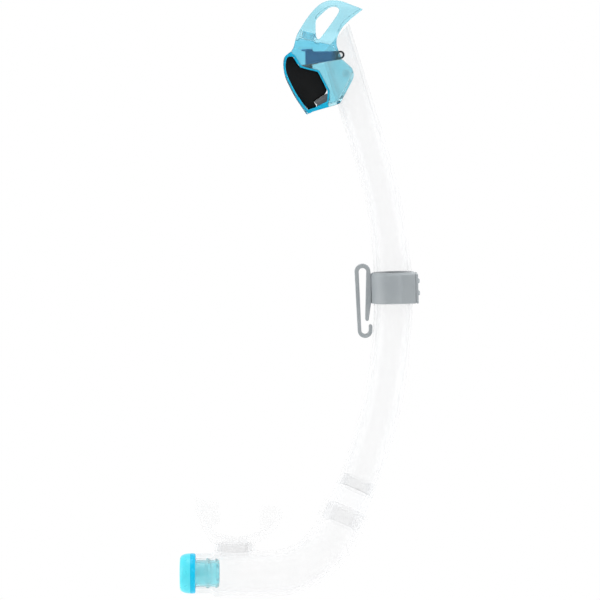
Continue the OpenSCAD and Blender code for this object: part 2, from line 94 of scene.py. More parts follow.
def white_world():
    """White to the camera; to everything else a bright sweep behind the object and a dim room in front."""
    world = bpy.data.worlds.new("studio")
    bpy.context.scene.world = world
    world.use_nodes = True
    nodes, links = world.node_tree.nodes, world.node_tree.links
    nodes.clear()
    out = nodes.new("ShaderNodeOutputWorld")
    seen = nodes.new("ShaderNodeBackground")
    seen.inputs["Color"].default_value = (1, 1, 1, 1)
    lit = nodes.new("ShaderNodeBackground")
    path = nodes.new("ShaderNodeLightPath")
    pick = nodes.new("ShaderNodeMixShader")
    coord = nodes.new("ShaderNodeTexCoord")
    parts = nodes.new("ShaderNodeSeparateXYZ")
    links.new(coord.outputs["Generated"], parts.inputs[0])
    tones = []
    sweep = {"Y": ((0, 0.34), (0.42, 0.5), (0.62, 0.93), (1, 1.0)), "Z": ((0, 0.8), (0.5, 1.0))}
    for axis, stops in sweep.items():
        lift = nodes.new("ShaderNodeMapRange")
        lift.inputs["From Min"].default_value = -1
        ramp = nodes.new("ShaderNodeValToRGB")
        links.new(parts.outputs[axis], lift.inputs["Value"])
        links.new(lift.outputs[0], ramp.inputs[0])
        while len(ramp.color_ramp.elements) < len(stops):
            ramp.color_ramp.elements.new(0.5)
        for element, (place, tone) in zip(ramp.color_ramp.elements, stops):
            element.position = place
            element.color = (tone, tone, tone, 1)
        tones.append(ramp.outputs[0])
    both = nodes.new("ShaderNodeMix")
    both.data_type = "RGBA"
    both.blend_type = "MULTIPLY"
    both.inputs[0].default_value = 1
    links.new(tones[0], both.inputs[6])
    links.new(tones[1], both.inputs[7])
    links.new(both.outputs[2], lit.inputs["Color"])
    links.new(path.outputs["Is Camera Ray"], pick.inputs[0])
    links.new(lit.outputs[0], pick.inputs[1])
    links.new(seen.outputs[0], pick.inputs[2])
    links.new(pick.outputs[0], out.inputs[0])


white_world()


def floor():
    mesh = bpy.data.meshes.new("floor")
    edit = bmesh.new()
    bmesh.ops.create_circle(edit, cap_ends=True, segments=96, radius=0.8)
    edit.to_mesh(mesh)
    edit.free()
    disc = bpy.data.objects.new("floor", mesh)
    disc.location = (0, 0, -0.32)
    bpy.context.scene.collection.objects.link(disc)
    material = bpy.data.materials.new("floor_paper")
    material.use_nodes = True
    shader = material.node_tree.nodes["Principled BSDF"]
    shader.inputs["Base Color"].default_value = (0.93, 0.93, 0.93, 1)
    shader.inputs["Roughness"].default_value = 0.9
    disc.data.materials.append(material)


floor()


# ------------------------------------------------------------------ materials
class Nodes:
    """A short way to write a procedural material."""

    def __init__(self, name):
        self.material = bpy.data.materials.new(name)
        self.material.use_nodes = True
        self.tree = self.material.node_tree
        self.shader = self.tree.nodes["Principled BSDF"]

    def add(self, kind, **values):
        node = self.tree.nodes.new(kind)
        for key, value in values.items():
            if key in node.inputs:
                node.inputs[key].default_value = value
            else:
                setattr(node, key, value)
        return node

    def link(self, source, target):
        self.tree.links.new(source, target)

    def noise(self, scale, detail=3):
        node = self.add("ShaderNodeTexNoise", Scale=scale, Detail=detail, Roughness=0.5)
        coord = self.add("ShaderNodeTexCoord")
        self.link(coord.outputs["Object"], node.inputs["Vector"])
        return node.outputs["Fac"]

    def ramp(self, source, low, high):
        """Blends from low to high over the middle third of the source."""
        node = self.add("ShaderNodeValToRGB")
        node.color_ramp.elements[0].position = 0.35
        node.color_ramp.elements[1].position = 0.65
        node.color_ramp.elements[0].color = low
        node.color_ramp.elements[1].color = high
        self.link(source, node.inputs[0])
        return node.outputs["Color"]

    def spread(self, source, low, high):
        node = self.add("ShaderNodeMapRange")
        node.inputs["To Min"].default_value = low
        node.inputs["To Max"].default_value = high
        self.link(source, node.inputs["Value"])
        return node.outputs[0]

    def bump(self, source, strength, distance):
        node = self.add("ShaderNodeBump", Strength=strength, Distance=distance)
        self.link(source, node.inputs["Height"])
        self.link(node.outputs["Normal"], self.shader.inputs["Normal"])


def set_inputs(shader, **values):
    names = {
        "rough": "Roughness", "ior": "IOR", "through": "Transmission Weight", "coat": "Coat Weight",
        "coat_rough": "Coat Roughness", "specular": "Specular IOR Level",
    }
    for key, value in values.items():
        shader.inputs[names[key]].default_value = value


def clear_plastic(name, tint, deep, rough, body=0.05, edge=0.3, wave=0.02, coat=0.0):
    """Clear plastic or silicone: almost nothing seen face on, a soft pale line where it turns away."""
    m = Nodes(name)
    set_inputs(m.shader, ior=1.45, rough=rough, coat=coat, coat_rough=0.2)
    m.link(m.ramp(m.noise(40), tint, deep), m.shader.inputs["Base Color"])
    m.link(m.spread(m.noise(300), rough * 0.6, rough * 1.5 + 0.01), m.shader.inputs["Roughness"])
    m.link(m.spread(m.add("ShaderNodeLayerWeight", Blend=0.3).outputs["Facing"], body, edge),
           m.shader.inputs["Alpha"])
    m.bump(m.noise(110, 2), wave, 0.001)
    return m.material


def frosted(name, tint, deep, through, rough, wave=0.05, gloss=0.5):
    """Tinted translucent plastic: light passes and scatters."""
    m = Nodes(name)
    set_inputs(m.shader, through=through, ior=1.45, rough=rough, specular=gloss)
    m.link(m.ramp(m.noise(55), tint, deep), m.shader.inputs["Base Color"])
    m.link(m.spread(m.noise(260), rough * 0.7, rough * 1.3), m.shader.inputs["Roughness"])
    m.bump(m.noise(180, 4), wave, 0.0008)
    return m.material


def solid_plastic(name, tint, deep, rough, grain, coat=0.0, gloss=0.5):
    m = Nodes(name)
    set_inputs(m.shader, ior=1.47, rough=rough, coat=coat, coat_rough=0.12, specular=gloss)
    m.link(m.ramp(m.noise(70), tint, deep), m.shader.inputs["Base Color"])
    m.link(m.spread(m.noise(420), rough * 0.8, min(1, rough * 1.25)), m.shader.inputs["Roughness"])
    m.bump(m.noise(1500, 4), grain, 0.0004)
    return m.material


def arm_plastic():
    """Deep blue plastic, black round the hinge's eye."""
    m = Nodes("arm")
    set_inputs(m.shader, ior=1.47, specular=0.2)
    coord = m.add("ShaderNodeTexCoord")
    parts = m.add("ShaderNodeSeparateXYZ")
    m.link(coord.outputs["Object"], parts.inputs[0])
    fade = m.add("ShaderNodeMapRange")
    fade.inputs["From Min"].default_value = joint_point("float_hinge").x - 0.0062
    fade.inputs["From Max"].default_value = joint_point("float_hinge").x - 0.0024
    m.link(parts.outputs["X"], fade.inputs["Value"])
    both = m.add("ShaderNodeMix", data_type="RGBA")
    m.link(fade.outputs[0], both.inputs[0])
    m.link(m.ramp(m.noise(90), (0.0, 0.24, 0.56, 1), (0.0, 0.2, 0.5, 1)), both.inputs[6])
    both.inputs[7].default_value = (0.012, 0.013, 0.014, 1)
    m.link(both.outputs[2], m.shader.inputs["Base Color"])
    m.link(m.spread(m.noise(300), 0.35, 0.5), m.shader.inputs["Roughness"])
    return m.material


MATERIALS = {
    "clear_tube": clear_plastic("clear_tube", (0.8, 0.81, 0.82, 1), (0.76, 0.77, 0.785, 1),
                                0.12, 0.06, 0.36, 0.02, 0.3),
    "coupling": clear_plastic("coupling", (0.8, 0.83, 0.86, 1), (0.76, 0.79, 0.83, 1), 0.2, 0.03, 0.2),
    "silicone": clear_plastic("silicone", (0.84, 0.842, 0.85, 1), (0.8, 0.805, 0.815, 1),
                              0.3, 0.07, 0.3, 0.02, 0.12),
    "hood": frosted("hood", (0.48, 0.88, 1.0, 1), (0.42, 0.86, 0.99, 1), 0.93, 0.12, 0.05, 0.2),
    "chamber": frosted("chamber", (0.57, 0.9, 0.98, 1), (0.5, 0.88, 0.97, 1), 0.93, 0.12, 0.05, 0.2),
    # painted edge colour: a darker, more saturated copy of the chamber's blue, standing in for light passing
    # edge-on through the plastic
    "painted_edge_tint": frosted("painted_edge_tint", (0.0, 0.56, 0.86, 1), (0.0, 0.5, 0.82, 1), 0.25, 0.25, 0.04, 0.3),
    "purge": frosted("purge", (0.42, 0.95, 1.0, 1), (0.36, 0.93, 1.0, 1), 0.85, 0.12, 0.05, 0.3),
    "ring": frosted("ring", (0.0, 0.6, 0.88, 1), (0.0, 0.54, 0.84, 1), 0.1, 0.25, 0.03, 0.3),
    "cover": frosted("cover", (0.11, 0.78, 0.89, 1), (0.08, 0.74, 0.87, 1), 0.1, 0.3, 0.03, 0.4),
    "grille": solid_plastic("grille", (0.13, 0.14, 0.15, 1), (0.1, 0.11, 0.12, 1), 0.42, 0.1),
    "float": solid_plastic("float", (0.009, 0.0095, 0.01, 1), (0.006, 0.0065, 0.007, 1), 0.5, 0.2, 0.0, 0.12),
    "clip": solid_plastic("clip", (0.36, 0.39, 0.405, 1), (0.33, 0.36, 0.378, 1), 0.4, 0.1, 0.1, 0.3),
    "arm": arm_plastic(),
}

SLOT_OF = {s["node"]: s["material_slot"] for s in frame["record"]["subparts"]}
BODY_OF = {n: b for b, nodes in frame["record"]["behaviour"]["bodies"].items() for n in nodes}


# ------------------------------------------------------------------ mesh tools
def keep(name, mesh, node, material=None):
    """Links a finished mesh as the piece that stands for a CAD node."""
    piece = bpy.data.objects.new(name, mesh)
    bpy.context.scene.collection.objects.link(piece)
    mesh.materials.clear()
    mesh.materials.append(MATERIALS[material or SLOT_OF[node]])
    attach(piece, BODY_OF[node])
    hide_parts(node)
    return piece


def smooth_faces(mesh, angle=math.radians(35)):
    for face in mesh.polygons:
        face.use_smooth = True
    mesh.set_sharp_from_angle(angle=angle)
    return mesh


def finish_mesh(name, edit, move=None):
    bmesh.ops.remove_doubles(edit, verts=edit.verts, dist=1e-7)
    bmesh.ops.recalc_face_normals(edit, faces=edit.faces)
    mesh = bpy.data.meshes.new(name)
    edit.to_mesh(mesh)
    edit.free()
    if move is not None:
        mesh.transform(move)
    return mesh


def frame_along(start, direction):
    """Local +Z runs along direction, from start."""
    turn = Vector(direction).normalized().to_track_quat("Z", "Y").to_matrix().to_4x4()
    return Matrix.Translation(Vector(start)) @ turn


def lathe(name, profile, start, direction, around=96):
    """A closed profile of (radius, height) in mm, turned about a line."""
    edit = bmesh.new()
    rings = []
    for r, h in profile:
        ring = []
        for i in range(around):
            a = 2 * math.pi * i / around
            ring.append(edit.verts.new((r * math.cos(a) * MM, r * math.sin(a) * MM, h * MM)))
        rings.append(ring)
    for a, b in zip(rings, rings[1:] + rings[:1]):
        skin(edit, a, b)
    bmesh.ops.remove_doubles(edit, verts=edit.verts, dist=1e-7)
    bmesh.ops.dissolve_degenerate(edit, edges=edit.edges, dist=1e-8)
    return smooth_faces(finish_mesh(name, edit, frame_along(start, direction)))


def round_corner(before, corner, after, radius, steps=6):
    """Points of an arc-like rounding of one corner of a profile."""
    b, c, a = Vector(before), Vector(corner), Vector(after)
    start = c + (b - c).normalized() * min(radius, (b - c).length * 0.49)
    end = c + (a - c).normalized() * min(radius, (a - c).length * 0.49)
    turns = [i / steps for i in range(steps + 1)]
    return [start * (1 - t) ** 2 + c * 2 * t * (1 - t) + end * t * t for t in turns]


def rounded(points, radius, steps=6):
    """A closed outline with every corner rounded; a point may carry its own radius."""
    out = []
    n = len(points)
    for i in range(n):
        p, c, q = points[i - 1], points[i], points[(i + 1) % n]
        own = c[2] if len(c) > 2 else radius
        if own <= 0:
            out.append(Vector(c[:2]))
        else:
            out += round_corner(p[:2], c[:2], q[:2], own, steps)
    return out


def between(before, a, b, after, t):
    """The point at t on a smooth curve from a to b, led by the points on either side."""
    return 0.5 * (2 * a + (b - before) * t + (2 * before - 5 * a + 4 * b - after) * t * t
                  + (3 * a - before - 3 * b + after) * t ** 3)


def flowing(points, per_span=8):
    """A smooth closed curve through points; a point with a third value is a corner."""
    n = len(points)
    p = [Vector(q[:2]) for q in points]
    sharp = [len(q) > 2 for q in points]
    out = []
    for i in range(n):
        a, b = p[i], p[(i + 1) % n]
        before = p[i - 1] if not sharp[i] else a * 2 - b
        after = p[(i + 2) % n] if not sharp[(i + 1) % n] else b * 2 - a
        for k in range(per_span):
            out.append(between(before, a, b, after, k / per_span))
    return out


def prism(loops, near, far, name="prism"):
    """Outlines in the XZ plane, the first with the others as holes, drawn out along Y. All in mm."""
    flat = [p for loop in loops for p in loop]
    fill = tessellate_polygon([[Vector((p[0], p[1], 0)) for p in loop] for loop in loops])
    edit = bmesh.new()
    sides = [[edit.verts.new((p[0] * MM, y * MM, p[1] * MM)) for p in flat] for y in (near, far)]
    for side in sides:
        for tri in fill:
            if len(set(tri)) == 3:
                edit.faces.new([side[i] for i in tri])
    start = 0
    for loop in loops:
        count = len(loop)
        for i in range(count):
            a, b = start + i, start + (i + 1) % count
            edit.faces.new((sides[0][a], sides[0][b], sides[1][b], sides[1][a]))
        start += count
    return finish_mesh(name, edit)


def strip(points, depth):
    """A closed outline that follows an open line, depth mm thick, to the line's right."""
    inner = []
    for i, p in enumerate(points):
        along = points[min(i + 1, len(points) - 1)] - points[max(i - 1, 0)]
        side = Vector((along[1], -along[0])).normalized()
        inner.append(p + side * depth)
    return list(points) + inner[::-1]


def grown(loop, by):
    """A closed outline moved outwards by some mm, whichever way round it runs."""
    area = sum(a[0] * b[1] - b[0] * a[1] for a, b in zip(loop, loop[1:] + loop[:1]))
    sign = 1 if area > 0 else -1
    out = []
    for i, p in enumerate(loop):
        along = loop[(i + 1) % len(loop)] - loop[i - 1]
        out.append(p + Vector((along[1], -along[0])).normalized() * by * sign)
    return out


def ring_points(middle, direction, radius, around):
    """Points of a circle across a direction in the XZ plane; the radius is in mm."""
    side = Vector((direction.z, 0, -direction.x))
    turns = [2 * math.pi * k / around for k in range(around)]
    return [middle + side * math.cos(a) * radius * MM + Vector((0, 1, 0)) * math.sin(a) * radius * MM
            for a in turns]


def skin(edit, a, b):
    """Faces between two rings of the same count."""
    for k in range(len(a)):
        j = (k + 1) % len(a)
        edit.faces.new((a[k], a[j], b[j], b[k]))


def joined(parts, name):
    edit = bmesh.new()
    for mesh in parts:
        edit.from_mesh(mesh)
    mesh = bpy.data.meshes.new(name)
    edit.to_mesh(mesh)
    edit.free()
    return mesh


def with_modifiers(mesh, *settings):
    """A copy of the mesh with modifiers applied in turn."""
    holder = bpy.data.objects.new("holder", mesh)
    bpy.context.scene.collection.objects.link(holder)
    for kind, values in settings:
        modifier = holder.modifiers.new(kind, kind)
        for key, value in values.items():
            setattr(modifier, key, value)
    bpy.context.view_layer.update()
    graph = bpy.context.evaluated_depsgraph_get()
    result = bpy.data.meshes.new_from_object(holder.evaluated_get(graph), depsgraph=graph)
    bpy.data.objects.remove(holder)
    return result


def moulded(parts, voxel, passes, name):
    """Overlapping closed parts melted into one soft-edged solid."""
    mesh = with_modifiers(
        joined(parts, name),
        ("REMESH", {"mode": "VOXEL", "voxel_size": voxel * MM}),
        ("SMOOTH", {"factor": 0.5, "iterations": passes}),
    )
    return smooth_faces(mesh, math.radians(60))


def boolean(mesh, operation, others):
    """The mesh after one exact boolean with each of the others in turn."""
    tools = []
    for other in others:
        tool = bpy.data.objects.new("tool", other)
        bpy.context.scene.collection.objects.link(tool)
        tools.append(tool)
    result = with_modifiers(mesh, *[
        ("BOOLEAN", {"operation": operation, "solver": "EXACT", "object": tool}) for tool in tools])
    for tool in tools:
        bpy.data.objects.remove(tool)
    return result


def without(mesh, *cutters):
    """The mesh less some closed cutters."""
    return smooth_faces(boolean(mesh, "DIFFERENCE", cutters), math.radians(50))


def united(mesh, other):
    """Two closed meshes made one."""
    return boolean(mesh, "UNION", [other])


def moved(mesh, matrix):
    mesh.transform(matrix)
    return mesh


# ------------------------------------------------------------------ the bend and the head's frame
BEND = joint_point("clip_slide")
HINGE = joint_point("float_hinge")
CUFF = joint_point("elbow_swivel")
UP_TUBE = Vector(JOINTS["elbow_swivel"]["axis"]).normalized()
FLOAT_DEG = JOINTS["float_hinge"]["range_deg"][1]

BEND_R = 312
TUBE_DOWN, TUBE_UP = -23, 17.3
TUBE_R, TUBE_TOP_R, TUBE_WALL = 12.55, 11.4, 1.9
TAPER_END = 12
STRAIGHT_ROWS = 30
HEAD_HALF = 15.2
HEAD_IN = HEAD_HALF - 0.3
CHEEK = 1.6
TUBE_GAP = 0.08
SEAL_X = -22.4 * MM
AT_HINGE = Matrix.Translation(HINGE)


def on_bend(angle):
    a = math.radians(angle)
    return BEND + Vector((math.cos(a), 0, math.sin(a))) * BEND_R * MM


def along_bend(angle):
    a = math.radians(angle)
    return Vector((-math.sin(a), 0, math.cos(a)))


TOP_DIR = along_bend(TUBE_UP)
SLANT_LOW = HINGE + Vector((-12.04 * MM, 0, 0))
SLANT_DIR = Vector((17.5, 0, 19.8)).normalized()
SLANT_NORMAL = Vector((-SLANT_DIR.z, 0, SLANT_DIR.x))


def ease(t):
    t = max(0, min(1, t))
    return t * t * (3 - 2 * t)


# ------------------------------------------------------------------ tube
def tube_mesh(around=96, per_degree=1.0):
    """The bent tube with its even taper, its inner wall and its slanted top end."""
    steps = round((TUBE_UP - TUBE_DOWN) * per_degree)
    stations = []
    for i in range(steps + 1):
        angle = TUBE_DOWN + (TUBE_UP - TUBE_DOWN) * i / steps
        radius = TUBE_R + (TUBE_TOP_R - TUBE_R) * max(0, min(1, angle / TAPER_END))
        stations.append((on_bend(angle), along_bend(angle), radius))
    edit = bmesh.new()

    def wall(inset):
        rings = [ring_points(place, way, radius - inset, around) for place, way, radius in stations]
        last = rings[-1]
        ends = []
        for p in last:
            reach = (SLANT_LOW - p).dot(SLANT_NORMAL) / TOP_DIR.dot(SLANT_NORMAL)
            ends.append(p + TOP_DIR * reach)
        for k in range(1, STRAIGHT_ROWS + 1):
            rings.append([a.lerp(b, k / STRAIGHT_ROWS) for a, b in zip(last, ends)])
        return [[edit.verts.new(p) for p in r] for r in rings]

    outer, inner = wall(0), wall(TUBE_WALL)
    for shell in (outer, inner):
        for a, b in zip(shell, shell[1:]):
            skin(edit, a, b)
    for end in (0, -1):
        skin(edit, outer[end], inner[end])
    return smooth_faces(finish_mesh("tube", edit))


keep("tube", tube_mesh(), "main_tube")

FOOT = on_bend(TUBE_DOWN)
DOWN = -UP_TUBE
COLLAR = 12.9
SPIGOT_BORE = TUBE_R - 4.1
keep("coupling_sleeve", lathe("coupling_sleeve", rounded([
    (SPIGOT_BORE, -8), (10.35, -8, 0.4), (10.35, -0.1), (TUBE_R - 0.03, -0.1, 0.2),
    (TUBE_R - 0.03, COLLAR + 10.9, 0.6), (SPIGOT_BORE, COLLAR + 10.9, 0.3)], 0.1, 3), FOOT, DOWN), "coupling")


# ------------------------------------------------------------------ head
CREST = [
    (-31.3, 2.3, 1), (-29.8, 4.9), (-28.2, 11.3), (-25.5, 16.6), (-21.8, 22.4), (-17.6, 27.8),
    (-13.2, 32), (-8.6, 34.2), (-4.0, 34.6), (1, 33.9), (7.4, 31.6), (14.4, 28.9, 1), (7.9, 23.8),
    (4.7, 20.9), (1.6, 17.7), (-1.1, 13.4), (-2.4, 9.6), (-2.4, 6), (-1.3, 2.8, 1),
]
CREST_FOOT = [(1, -2.8), (-21.8, -6.2), (-25.9, -6.7), (-27.4, -5)]
WINDOW = [
    (-5.0, 30.5), (-8, 29.3), (-12.2, 25.6), (-15.3, 22.2), (-15.8, 18.6), (-15.6, 12.9), (-14.6, 8.8, 1),
    (-13.0, 10.4), (-9, 15.6), (-4.8, 21.4), (-1.7, 26.0), (-0.8, 28.6), (-2.2, 30.2),
]
CHAMBER = [
    (-31.3, 2.3, 1), (-35.0, -0.7), (-36.2, -3.4), (-36.3, -7.2), (-35.3, -13.6), (-32.3, -20.5),
    (-28.2, -28), (-21.5, -38, 1), (-18.0, -36.2), (-4.3, -32.2), (-0.4, -30.8, 1), (1.6, -27.4),
    (5.8, -19.5), (8.2, -14.3), (8.3, -11.3), (7.0, -8.2), (4.2, -5.6), (1, -2.8, 1),
    (-21.8, -6.2, 1), (-25.9, -6.7), (-27.4, -5),
]
CUTOUT = [
    (-33.7, -1.9), (-32.4, -0.8), (-30, -0.9, 1), (-27.2, -5.4), (-25.5, -8.0, 1), (-20.4, -9.4),
    (-15.4, -10.6), (-14.1, -11.5), (-11, -17.5), (-8, -23.2, 1), (-8.6, -29.5, 1), (-14.6, -32.5, 1),
    (-19.1, -35.4), (-20.6, -35.0), (-27.6, -25.3), (-33.5, -13.6), (-34.8, -8.3), (-34.6, -4.1),
]
GUSSET = [
    (-35.6, -1.6), (-34.9, -0.6), (-31.3, 2.1), (-27.5, -4.8), (-26.2, -6.4), (-27.6, -5.6), (-30, -1.1),
    (-33, -1.2),
]
FLOAT = [
    (-34.8, -2.2), (-33.1, -1.0), (-30.3, -1.2), (-26.6, -6.7), (-25.2, -7.2), (-25.2, -6.3, 1),
    (-17.6, -6.3, 1), (-17.6, -8.8), (-14.4, -10.8), (-8.5, -22.6, 1), (-10.0, -25.1, 1),
    (-17.2, -29.55, 1), (-15.5, -31.9), (-15.2, -32.7), (-16.4, -33.5), (-19.4, -34.9),
    (-20.5, -34.7), (-28, -25.2), (-33.9, -13.4), (-35.1, -8.2), (-35, -4.2),
]


def narrow_to_crown(mesh):
    """The hood gets narrower towards its crown."""
    for v in mesh.vertices:
        t = ease((v.co.z / MM - 8.2) / 28)
        v.co.y *= 1 - 0.5 * t
    return mesh


def tube_cutter(extra):
    """The room of the tube's straight top, ending at its slanted mouth."""
    reach = TUBE_TOP_R + extra
    room = lathe("tube_room", [(0, 0), (reach, 0), (reach, 140), (0, 140)],
                 HINGE - TOP_DIR * 60 * MM, TOP_DIR)
    low, along, out = SLANT_LOW / MM, SLANT_DIR, SLANT_NORMAL
    corners = [low - along * 40 + out * extra, low + along * 80 + out * extra,
               low + along * 80 + out * 80, low - along * 40 + out * 80]
    return without(room, prism([[Vector((p.x, p.z)) for p in corners]], -40, 40))


def crest_mesh():
    edge = flowing(CREST)
    # the open run of the outline, from the foot in front over the crown to the foot behind
    run = edge[:8 * (len(CREST) - 1) + 1]
    window = flowing(WINDOW)
    foot = [Vector(p) for p in CREST_FOOT]
    outline = run + foot
    cheeks = [prism([outline, window], s * (HEAD_HALF - CHEEK), s * HEAD_HALF) for s in (-1, 1)]
    crown = [p for p in run if p[1] > 9.0 or p[0] > -20]
    spine = prism([strip(crown, CHEEK)], -HEAD_IN, HEAD_IN)
    ring = prism([grown(window, CHEEK), window], -HEAD_IN, HEAD_IN)
    tilt = Matrix.Rotation(math.radians(FLOAT_DEG), 4, "Y")
    floor_plate = prism([[Vector(p) for p in [(-28.6, 5.3), (-4.5, 5.3), (-4.5, 6.8), (-28.2, 6.8)]]],
                        -HEAD_IN, HEAD_IN)
    floor_plate.transform(tilt)
    port = lathe("port", [(0, 0), (5.3, 0), (5.3, 9), (0, 9)], (SEAL_X, 0, 0), (0, 0, 1), 64)
    port.transform(tilt)
    body = moulded(cheeks + [spine, ring, floor_plate], 0.42, 4, "crest")
    body = without(body, port)
    narrow_to_crown(body)
    body.transform(AT_HINGE)
    return without(body, tube_cutter(TUBE_GAP))


def chamber_mesh():
    outline = flowing(CHAMBER)
    hole = flowing(CUTOUT)
    cheeks = [prism([outline, hole], s * (HEAD_HALF - CHEEK), s * HEAD_HALF) for s in (-1, 1)]
    # the wall runs from low on the outer edge, round the bottom, to the side by the tube
    low = [p for p in outline if p[1] < -27.5]
    first = outline.index(low[0])
    last = outline.index(low[-1])
    wall = prism([strip(outline[first:last + 26][::-1], CHEEK)[::-1]], -HEAD_IN, HEAD_IN)
    cutter = tube_cutter(TUBE_GAP)
    body = moulded(cheeks + [wall], 0.42, 4, "chamber")
    body.transform(AT_HINGE)
    # rims that stand a little proud round the cut-outs and along the lower outer edge, in a deeper blue:
    # painted edge colour, the saturated tint that light takes passing edge-on through the plastic there
    proud = 0.06
    sill = [p for p in outline if p[1] < -27.5 and p[0] < -6]
    painted_edge_pieces = [prism([strip(sill[::-1], 2.1)[::-1]], -HEAD_HALF - proud, HEAD_HALF + proud)]
    for s in (-1, 1):
        near, far = s * (HEAD_HALF - CHEEK - proud), s * (HEAD_HALF + proud)
        painted_edge_pieces.append(prism([grown(hole, 1.25), hole], near, far))
        painted_edge_pieces.append(prism([[Vector(p) for p in GUSSET]], near, far))
    painted_edges = moulded(painted_edge_pieces, 0.36, 3, "painted_edges")
    painted_edges.transform(AT_HINGE)
    return without(body, cutter.copy()), without(painted_edges, cutter)


keep("crest_hood", crest_mesh(), "crest")
shell, painted_edges = chamber_mesh()
keep("float_shell", shell, "float_chamber")
# the rims carry the painted edge colour, not a finish of the chamber's own
keep("float_shell_painted_edges", painted_edges, "float_chamber", "painted_edge_tint")

FLOAT_HALF = 12.4
float_body = moulded([prism([flowing(FLOAT)], -FLOAT_HALF, FLOAT_HALF)], 0.55, 10, "float_body")
float_body.transform(AT_HINGE)
keep("float_body", float_body, "float")

FORK_IN, FORK_OUT, EYE_R = 11.7, 13.3, 2.6
PIN_R = 1.55


def circle(radius, middle=(0, 0), steps=64):
    return [Vector((middle[0] + radius * math.cos(2 * math.pi * i / steps),
                    middle[1] + radius * math.sin(2 * math.pi * i / steps))) for i in range(steps)]


def arm_mesh():
    parts = []
    for s in (-1, 1):
        blade = [Vector(p) for p in [(-21.9, 2.0), (-6, 2.25), (0, 2.5),
                                     (0, -2.5), (-6, -3.2), (-21.9, -5.6)]]
        parts.append(prism([blade], s * FORK_IN, s * FORK_OUT))
        parts.append(prism([circle(EYE_R)], s * FORK_IN, s * FORK_OUT))
    bridge = rounded([(-22.3, -6.2), (-17.6, -6.2), (-17.6, 3.6), (-22.3, 3.6)], 0.6, 4)
    parts.append(prism([bridge], -FORK_OUT, FORK_OUT))
    post = [(0, 2.4), (2.4, 2.4), (2.4, 3.6), (0, 3.6)]
    parts.append(lathe("post", post, (SEAL_X, 0, 0), (0, 0, 1), 64))
    body = moulded(parts, 0.33, 3, "arm")
    body = without(body, prism([circle(PIN_R + 0.06)], -20, 20))
    body.transform(AT_HINGE)
    return body


keep("float_fork", arm_mesh(), "float_arm")

keep("seal_disc", lathe("seal_disc", rounded([(0, 3.6, 0), (4.7, 3.6), (4.7, 5), (0, 5, 0)], 0.4, 5),
                        HINGE + Vector((SEAL_X, 0, 0)), (0, 0, 1), 64), "valve_seal")

SEAT_DIR = Vector((math.sin(math.radians(FLOAT_DEG)), 0, math.cos(math.radians(FLOAT_DEG))))
SEAT_SIDE = Vector((SEAT_DIR.z, 0, -SEAT_DIR.x))
keep("seat_ring", lathe("seat_ring", rounded([(3.4, 5.15), (5.0, 5.15), (5.0, 7.75), (3.4, 7.75)], 0.35, 5),
                        HINGE + SEAT_SIDE * SEAL_X, SEAT_DIR, 64), "valve_seat")


def grille_mesh():
    half = 13.5
    base = rounded([(-14.95, -32.7), (-6.8, -29), (-6.8, -26.6), (-8.4, -26.4), (-14.95, -29.9)], 0.2, 3)
    tooth = rounded([(-15.6, -31.2), (-7, -27), (-8.4, -24.4), (-16.9, -29.6)], 0.5, 3)
    parts = [prism([base], -half, half)]
    for i in range(7):
        y = -half + 1.2 + i * (2 * half - 2.4) / 6
        parts.append(prism([tooth], y - 0.8, y + 0.8))
    return moved(moulded(parts, 0.3, 2, "grille"), AT_HINGE)


keep("drain_comb", grille_mesh(), "drain_grille")


def paired_pins(name, place, profile, node):
    """Two equal pins, one on each side, whose profile runs outwards along Y."""
    sides = [lathe(name, profile, place, (0, s, 0), 48) for s in (-1, 1)]
    return keep(name, smooth_faces(joined(sides, name)), node)


PEG_PLACE = HINGE - TOP_DIR * 12.3 * MM
paired_pins("hinge_pin_pair", HINGE,
            rounded([(0, 9.6, 0), (PIN_R, 9.6), (PIN_R, 13.25), (0, 13.25, 0)], 0.25, 4), "hinge_pins")
paired_pins("snap_peg_pair", PEG_PLACE, rounded([
    (0, 9.6, 0), (2.5, 9.6), (2.5, 15.55), (1.7, 15.55), (1.5, 15.1), (0, 15.1, 0)], 0.3, 4), "snap_pegs")


# ------------------------------------------------------------------ elbow
ELBOW_R = 47.6
SOFT_R, SOFT_IN, CUFF_R = 14.95, 12.2, 15.55
CUFF_LEN = 14
CHAMBER_LEN = 38.9
SLEEVE_R, SLEEVE_IN, SLEEVE_LEN = 12.8, 9.8, 8.9
BEND_START = CUFF + DOWN * CUFF_LEN * MM
ELBOW_MIDDLE = BEND_START + Vector((DOWN.z, 0, -DOWN.x)) * ELBOW_R * MM
ROOM = Vector((ELBOW_MIDDLE.x, 0, ELBOW_MIDDLE.z - ELBOW_R * MM))
LEFT = Vector((-1, 0, 0))
TURN = math.degrees(math.atan2(-DOWN.x, -DOWN.z))


